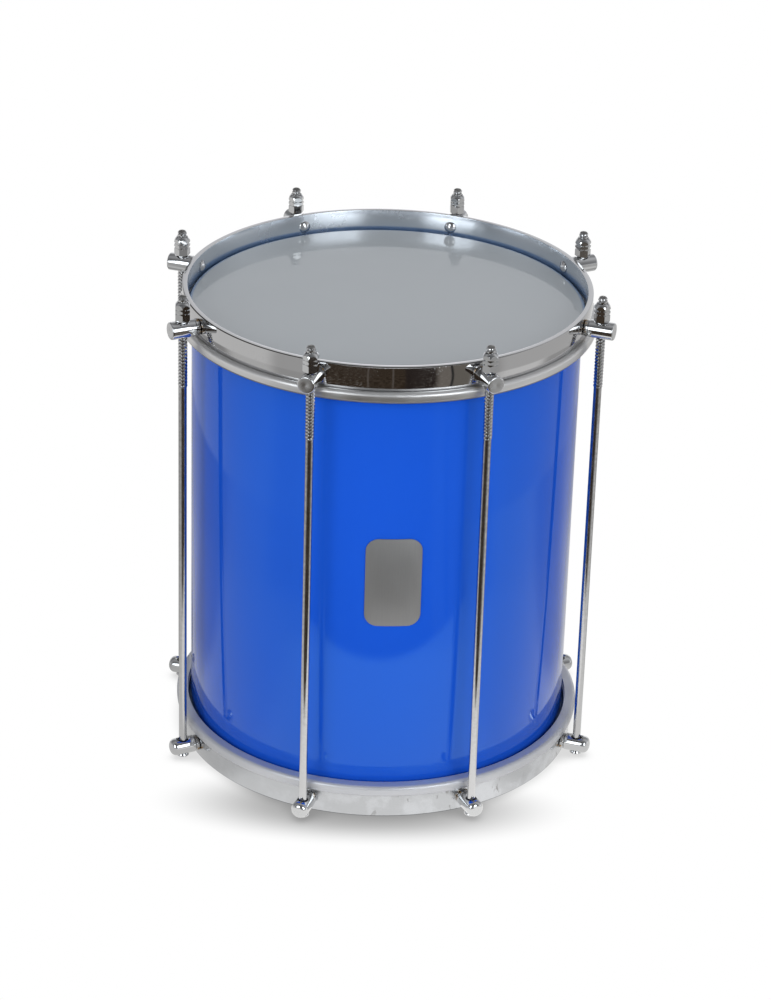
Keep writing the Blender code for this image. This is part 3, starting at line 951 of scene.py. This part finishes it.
class DRUM_OT_nuts(bpy.types.Operator):
    """Model the tall tuning nuts, with two turned grooves and rounded corners"""

    bl_idname = "drum.nuts"
    bl_label = "Tuning nuts"

    def execute(self, context):
        size = settings("hardware")
        flat = size.across_flats / 2
        corner = flat / math.cos(math.pi / 6)
        foot = NUT_FOOT + 1.2 * MM
        only(None)
        bpy.ops.mesh.primitive_cylinder_add(
            vertices=6,
            radius=corner,
            depth=NUT_TOP - foot,
            location=(0, 0, (NUT_TOP + foot) / 2),
            rotation=(0, 0, math.pi / 6),
        )
        nut = added("nut")
        full = corner + 0.05 * MM
        sunk = flat - 0.15 * MM
        shape = [
            (flat - 1.0 * MM, NUT_TOP),
            (flat - 0.5 * MM, NUT_TOP - 0.45 * MM),
            (flat + 0.25 * MM, NUT_TOP - 1.7 * MM),
            (full, NUT_TOP - 3.0 * MM),
        ]
        top = NUT_TOP - 3.6 * MM
        for _ in range(2):
            shape += [
                (full, top),
                (sunk, top - size.groove * 0.35),
                (sunk, top - size.groove * 0.65),
                (full, top - size.groove),
            ]
            top -= 1.3 * MM + size.groove
        shape += [
            (full, foot + 0.7 * MM),
            (flat - 0.25 * MM, foot),
        ]
        joined_with(nut, turned("nut_shape", shape, 64), "INTERSECT")
        nose = [
            (flat - 1.0 * MM, foot + 1 * MM),
            (4.3 * MM, foot),
            (3.45 * MM, NUT_FOOT),
        ]
        joined_with(nut, turned("nut_nose", nose, 32), "UNION")
        bore = 3.12 * MM
        hole = [
            (4.0 * MM, NUT_TOP + 0.3 * MM),
            (bore, NUT_TOP - 0.6 * MM),
            (bore, NUT_FOOT - 1 * MM),
        ]
        joined_with(nut, turned("nut_hole", hole, 32), "DIFFERENCE")
        smooth(nut, 25)
        plate = chrome("nut_chrome")
        for number, piece in enumerate(copies_at_rods(nut, "nut", NUT_TURNS), start=1):
            dress(piece, f"nut_{number}", "chrome", plate, f"tuning_nut_{number}")
        return {"FINISHED"}


class DRUM_OT_badge(bpy.types.Operator):
    """Model the badge plate, bent to the shell, with nothing written on it"""

    bl_idname = "drum.badge"
    bl_label = "Badge plate"

    def execute(self, context):
        inner = SHELL_OUTER + 0.05 * MM
        outer = BADGE_OUTER
        middle = (BADGE_FOOT + BADGE_TOP) / 2
        width = BADGE_HALF_WIDTH
        height = (BADGE_TOP - BADGE_FOOT) / 2
        spare = 5 * MM
        foot = middle - height - spare
        plate = flat_ring("badge_face", inner, outer, foot, middle + height + spare, 512)
        only(None)
        bpy.ops.mesh.primitive_cube_add(
            size=1, location=(0, -outer, middle), scale=(width * 2, outer, height * 2)
        )
        punch = added("badge_punch")
        edges_rounded(punch, lambda one, two: abs(one.y - two.y) > outer / 2, BADGE_CORNER, 10)
        joined_with(plate, punch, "INTERSECT")
        rounded(plate, 0.15 * MM, 40)
        smooth(plate, 30)
        dress(plate, DRUM, "badge_metal", brushed_plate(), "badge_plate")
        return {"FINISHED"}


# The studio.

# The camera stands where the photograph was taken from. It was fitted in radii of the hoop.
HOOP_RADIUS = 133.2 * MM
CAMERA_TURN = math.radians(4.0)
CAMERA_DISTANCE = 14.9576 * HOOP_RADIUS
CAMERA_HEIGHT = 8.6446 * HOOP_RADIUS
CAMERA_YAW = math.radians(0.073)
CAMERA_PITCH = math.radians(26.34)
CAMERA_ROLL = math.radians(1.723)
CAMERA_SENSOR = 36.0

# Upright soft boxes, all at one distance: name, angle in degrees from the camera's side, lowest and
# highest point, width, strength, and whether metal mirrors it.
LAMP_TINT = (0.91, 0.96, 1.0)
LAMP_DISTANCE = 3.0
SOFT_BOXES = (
    ("left_window", -36, 0.4, 2.3, 1.55, 3.3, True),
    ("right_window", 32, 0.4, 2.3, 1.5, 3.3, True),
    ("left_fill", -42, 0.3, 3.3, 1.3, 0.25, False),
    ("right_fill", 42, 0.3, 3.3, 1.3, 0.75, False),
    ("front_fill", 5, 0.3, 3.3, 1.0, 1.6, False),
)

# The painted soft shadow on the floor: half the width and depth of its ellipse, and how far it lies in
# front.
SHADOW_HALF_WIDTH = 0.134
SHADOW_HALF_DEPTH = 0.048
SHADOW_AHEAD = 0.121
# How near the drum the floor darkens under it, as painted contact shade.
CONTACT_DISTANCE = 0.015

# Where two lighter beams cross the dark room in front, as slopes sideways per way ahead.
BEAM_SLOPES = (-0.153, 0.07)


def camera_matrix():
    """Where the photograph was taken from, in the drum's frame."""
    forward = Vector((
        math.sin(CAMERA_YAW) * math.cos(CAMERA_PITCH),
        math.cos(CAMERA_YAW) * math.cos(CAMERA_PITCH),
        -math.sin(CAMERA_PITCH),
    ))
    level = Vector((math.cos(CAMERA_YAW), -math.sin(CAMERA_YAW), 0))
    above = level.cross(forward)
    right = level * math.cos(CAMERA_ROLL) + above * math.sin(CAMERA_ROLL)
    up = above * math.cos(CAMERA_ROLL) - level * math.sin(CAMERA_ROLL)
    turned_to = Matrix((right, up, -forward)).transposed().to_4x4()
    stood_at = Matrix.Translation((0, -CAMERA_DISTANCE, CAMERA_HEIGHT))
    return Matrix.Rotation(-CAMERA_TURN, 4, "Z") @ stood_at @ turned_to


def add_camera(scene, focal_length):
    """Add the camera and look through it."""
    lens = bpy.data.cameras.new("camera")
    lens.lens = focal_length
    lens.sensor_width = CAMERA_SENSOR
    lens.sensor_fit = "AUTO"
    lens.clip_start = 0.05
    lens.clip_end = 50
    camera = bpy.data.objects.new("camera", lens)
    scene.collection.objects.link(camera)
    camera.matrix_world = camera_matrix()
    scene.camera = camera


def soft_box(name, angle, low, high, width, radiance, mirrored):
    """An upright soft box round the drum, facing it."""
    light = bpy.data.lights.new(name, "AREA")
    light.shape = "RECTANGLE"
    light.size = width
    light.size_y = high - low
    light.energy = radiance * math.pi * light.size * light.size_y
    light.color = LAMP_TINT
    box = bpy.data.objects.new(name, light)
    bpy.context.scene.collection.objects.link(box)
    turn = math.radians(angle) - CAMERA_TURN
    box.location = (LAMP_DISTANCE * math.sin(turn), -LAMP_DISTANCE * math.cos(turn), (low + high) / 2)
    box.rotation_euler = (math.pi / 2, 0, turn)
    box.visible_glossy = mirrored


def ceiling_light(height, size, radiance):
    """A large soft light overhead, which metal doesn't mirror."""
    light = bpy.data.lights.new("ceiling", "AREA")
    light.size = size
    light.energy = radiance * math.pi * size * size
    lamp = bpy.data.objects.new("ceiling", light)
    bpy.context.scene.collection.objects.link(lamp)
    lamp.location = (0, 0, height)
    lamp.visible_glossy = False


def sees_background(finish):
    """1 for camera, glossy and transmission rays, which see the pale studio as it is."""
    path = finish.node("ShaderNodeLightPath")
    either = finish.maths("MAXIMUM", path.outputs["Is Camera Ray"], path.outputs["Is Glossy Ray"])
    return finish.maths("MAXIMUM", either, path.outputs["Is Transmission Ray"])


def floor_finish(tint):
    """A pale floor that shows white, with painted shadow only close under the drum and a little in front of
    it.
    """
    finish = Finish("pale_floor")
    x, y, _ = finish.parts_from_camera()
    across = finish.maths("MULTIPLY_ADD", x, 1 / SHADOW_HALF_WIDTH, 0.05)
    along = finish.maths("MULTIPLY_ADD", y, 1 / SHADOW_HALF_DEPTH, SHADOW_AHEAD / SHADOW_HALF_DEPTH)
    square = finish.maths("MULTIPLY_ADD", across, across, finish.maths("MULTIPLY", along, along))
    shadow = finish.ramp(finish.maths("SQRT", square), 0.35, 1.08, 0.42, 1.0)
    near = finish.node("ShaderNodeAmbientOcclusion", samples=16)
    near.inputs["Distance"].default_value = CONTACT_DISTANCE
    contact = finish.ramp(near.outputs["AO"], 0.3, 0.9, 0.7, 1.0)
    # Painted shadow: the ellipse and the contact shade darken the floor's white glow.
    white = finish.glow("ShaderNodeEmission", (1.0, 1.0, 1.0), finish.product(shadow, contact))
    plain = finish.node("ShaderNodeBsdfDiffuse")
    finish.join(tint, plain.inputs["Color"])
    finish.show(finish.blend(sees_background(finish), plain.outputs[0], white))
    return finish.material


def white_paper(finish, across, ahead):
    """Painted light of the paper under the drum as metal mirrors it: dimmer farther off, behind and at the
    sides.
    """
    around, _ = finish.distance_from_axis()
    frontal = finish.maths("DIVIDE", ahead, around)
    sideways = finish.maths("DIVIDE", across, around)
    far = finish.ramp(around, 0.30, 0.46)
    corner = finish.product(far, finish.ramp(frontal, 0.36, 0.60))
    beyond = finish.ramp(around, 0.655, 0.70)
    behind = finish.product(
        finish.ramp(frontal, 0.10, -0.20),
        finish.maths("SUBTRACT", 1.0, beyond),
        finish.ramp(around, 0.13, 0.22, 0.3, 1.0),
        finish.ramp(frontal, -0.35, -0.65, 1.0, 0.5),
    )
    extra = finish.ramp(sideways, 0.30, 0.92, 0.15, -0.27)
    level = finish.product(
        finish.ramp(sideways, -0.9, 0.9, 0.66, 0.82),
        finish.ramp(far, 0.0, 1.0, 1.0, 0.90),
        finish.ramp(corner, 0.0, 1.0, 1.0, 0.68),
        finish.ramp(behind, 0.0, 1.0, 1.0, 0.55),
        finish.maths("MULTIPLY_ADD", beyond, extra, 1.0),
    )
    close = finish.product(finish.ramp(around, 0.32, 0.27), finish.ramp(frontal, 0.60, 0.80))
    level = finish.maths("ADD", level, finish.maths("MULTIPLY", close, 0.26))
    paper = finish.node("ShaderNodeCombineXYZ")
    for socket, share in zip(paper.inputs, (1.0, 0.995, 0.985)):
        finish.join(finish.maths("MULTIPLY", level, share), socket)
    return paper.outputs[0]


def dark_room(finish, slope):
    """Painted light of the dark room beyond the paper, with lumps, specks and beams. The slope grows
    towards the right.
    """
    lumps = finish.ramp(finish.noise(1, detail=4, stretch=(50, 9, 1)), 0.3, 0.7)
    specks = finish.ramp(finish.noise(1, detail=2, stretch=(110, 17, 1)), 0.60, 0.68, 0.0, 0.8)
    beside = finish.ramp(finish.off(slope, 0.08), 0.12, 0.30)
    room = finish.mix(lumps, (0.030, 0.021, 0.013), (0.070, 0.052, 0.038))
    room = finish.mix(finish.ramp(slope, 0.16, 0.20, 0.0, 0.6), room, (0.018, 0.016, 0.018))
    room = finish.mix(finish.ramp(slope, 0.46, 0.54), room, (0.19, 0.17, 0.15))
    room = finish.mix(finish.product(specks, beside), room, (0.34, 0.32, 0.29))
    room = finish.mix(finish.ramp(slope, 0.665, 0.675), room, (0.03, 0.03, 0.03))
    room = finish.mix(finish.ramp(slope, 0.70, 0.71), room, (0.17, 0.155, 0.135))
    beams = 0.0
    for place in BEAM_SLOPES:
        beams = finish.maths("ADD", beams, finish.ramp(finish.off(slope, place), 0.005, 0.010, 0.6, 0.0))
    return finish.mix(beams, room, (0.17, 0.15, 0.135))


def room_finish():
    """A glowing sheet that metal mirrors, painted with light: white paper round the drum, and a dark room
    in front.
    """
    finish = Finish("glowing_room_ground")
    across, y, _ = finish.parts_from_camera()
    ahead = finish.maths("MULTIPLY", y, -1.0)
    slope = finish.maths("DIVIDE", across, finish.maths("MAXIMUM", ahead, 0.01))
    in_room = finish.product(
        finish.ramp(ahead, 0.27, 0.292),
        finish.ramp(slope, 0.94, 1.04, 1.0, 0.0),
        finish.ramp(slope, -0.86, -0.66),
    )
    ground = finish.mix(in_room, white_paper(finish, across, ahead), dark_room(finish, slope))
    finish.show(finish.glow("ShaderNodeEmission", ground))
    return finish.material


def dress_world():
    """White to the camera, greyer towards the ceiling in what metal mirrors, and a low even light."""
    world = bpy.data.worlds.new("studio")
    bpy.context.scene.world = world
    world.use_nodes = True
    world.node_tree.nodes.clear()
    sky = NodeWork(world.node_tree, "Generated")
    across, along, height = sky.parts()
    level = sky.product(
        sky.ramp(height, 0.08, 0.22, 1.0, 0.5),
        sky.ramp(height, 0.3, 0.9, 1.0, 0.85),
        sky.ramp(along, -0.6, 0.0, 0.35, 1.0),
        sky.ramp(along, 0.0, 0.4, 1.0, 0.6),
        sky.ramp(along, 0.72, 0.86, 1.0, 2.35),
        sky.ramp(across, -0.8, 0.8, 0.8, 1.3),
    )
    shown = sky.glow("ShaderNodeBackground", (0.98, 0.99, 1.02), level)
    plain = sky.glow("ShaderNodeBackground", (0.25, 0.255, 0.26))
    white = sky.glow("ShaderNodeBackground", (1.0, 1.0, 1.0))
    path = sky.node("ShaderNodeLightPath")
    mirrored = sky.maths("MAXIMUM", path.outputs["Is Glossy Ray"], path.outputs["Is Transmission Ray"])
    result = sky.blend(path.outputs["Is Camera Ray"], sky.blend(mirrored, plain, shown), white)
    sky.join(result, sky.node("ShaderNodeOutputWorld").inputs["Surface"])


class DRUM_OT_stage(bpy.types.Operator):
    """Set up the floor, the soft boxes, a glowing sheet with the room's painted light for metal to mirror,
    and the camera
    """

    bl_idname = "drum.stage"
    bl_label = "Studio"

    def execute(self, context):
        size = settings("stage")
        only(None)
        bpy.ops.mesh.primitive_plane_add(size=40, location=(0, 0, 0))
        floor = added("floor")
        floor.data.materials.append(floor_finish(tuple(size.floor)))
        only(None)
        # A glowing sheet that only metal mirrors, painted with the light and dark of the paper and the
        # room.
        bpy.ops.mesh.primitive_plane_add(size=12, location=(0, 0, 0.5 * MM))
        room = added("glowing_room_ground")
        room.data.materials.append(room_finish())
        for rays in ("camera", "diffuse", "shadow", "transmission"):
            setattr(room, "visible_" + rays, False)
        dress_world()
        for box in SOFT_BOXES:
            soft_box(*box)
        ceiling_light(height=2.6, size=2.0, radiance=0.8)
        add_camera(context.scene, size.lens)
        context.scene.view_settings.view_transform = "Standard"
        return {"FINISHED"}


class DRUM_PT_panel(bpy.types.Panel):
    """Lists the drum's pieces and their sizes"""

    bl_label = "Repinique"
    bl_idname = "DRUM_PT_panel"
    bl_space_type = "VIEW_3D"
    bl_region_type = "UI"
    bl_category = "Drum"

    def draw(self, context):
        layout = self.layout
        for group in GROUPS:
            box = layout.box()
            box.label(text=group.capitalize())
            values = settings(group)
            for name in values.__annotations__:
                box.prop(values, name)
        for step in STEPS:
            layout.operator(step.bl_idname, text=step.bl_label)


GROUPS = {
    "shell": ShellSettings,
    "heads": HeadSettings,
    "hoops": HoopSettings,
    "hardware": HardwareSettings,
    "stage": StageSettings,
}
STEPS = (
    DRUM_OT_stage,
    DRUM_OT_shell,
    DRUM_OT_heads,
    DRUM_OT_flesh_hoops,
    DRUM_OT_counter_hoops,
    DRUM_OT_barrels,
    DRUM_OT_rivets,
    DRUM_OT_rods,
    DRUM_OT_nuts,
    DRUM_OT_badge,
)


def register():
    """Add the settings, the operators and the panel."""
    for group, kind in GROUPS.items():
        bpy.utils.register_class(kind)
        setattr(bpy.types.Scene, "drum_" + group, bpy.props.PointerProperty(type=kind))
    for step in STEPS:
        bpy.utils.register_class(step)
    bpy.utils.register_class(DRUM_PT_panel)


def unregister():
    """Take away what register() added."""
    bpy.utils.unregister_class(DRUM_PT_panel)
    for step in reversed(STEPS):
        bpy.utils.unregister_class(step)
    for group, kind in GROUPS.items():
        delattr(bpy.types.Scene, "drum_" + group)
        bpy.utils.unregister_class(kind)


def main():
    """Model the drum and set the studio round it."""
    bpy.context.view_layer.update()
    register()
    bpy.ops.drum.stage()
    bpy.ops.drum.shell()
    bpy.ops.drum.heads()
    bpy.ops.drum.flesh_hoops()
    bpy.ops.drum.counter_hoops()
    bpy.ops.drum.barrels()
    bpy.ops.drum.rivets()
    bpy.ops.drum.rods()
    bpy.ops.drum.nuts()
    bpy.ops.drum.badge()


if __name__ == "__main__":
    main()
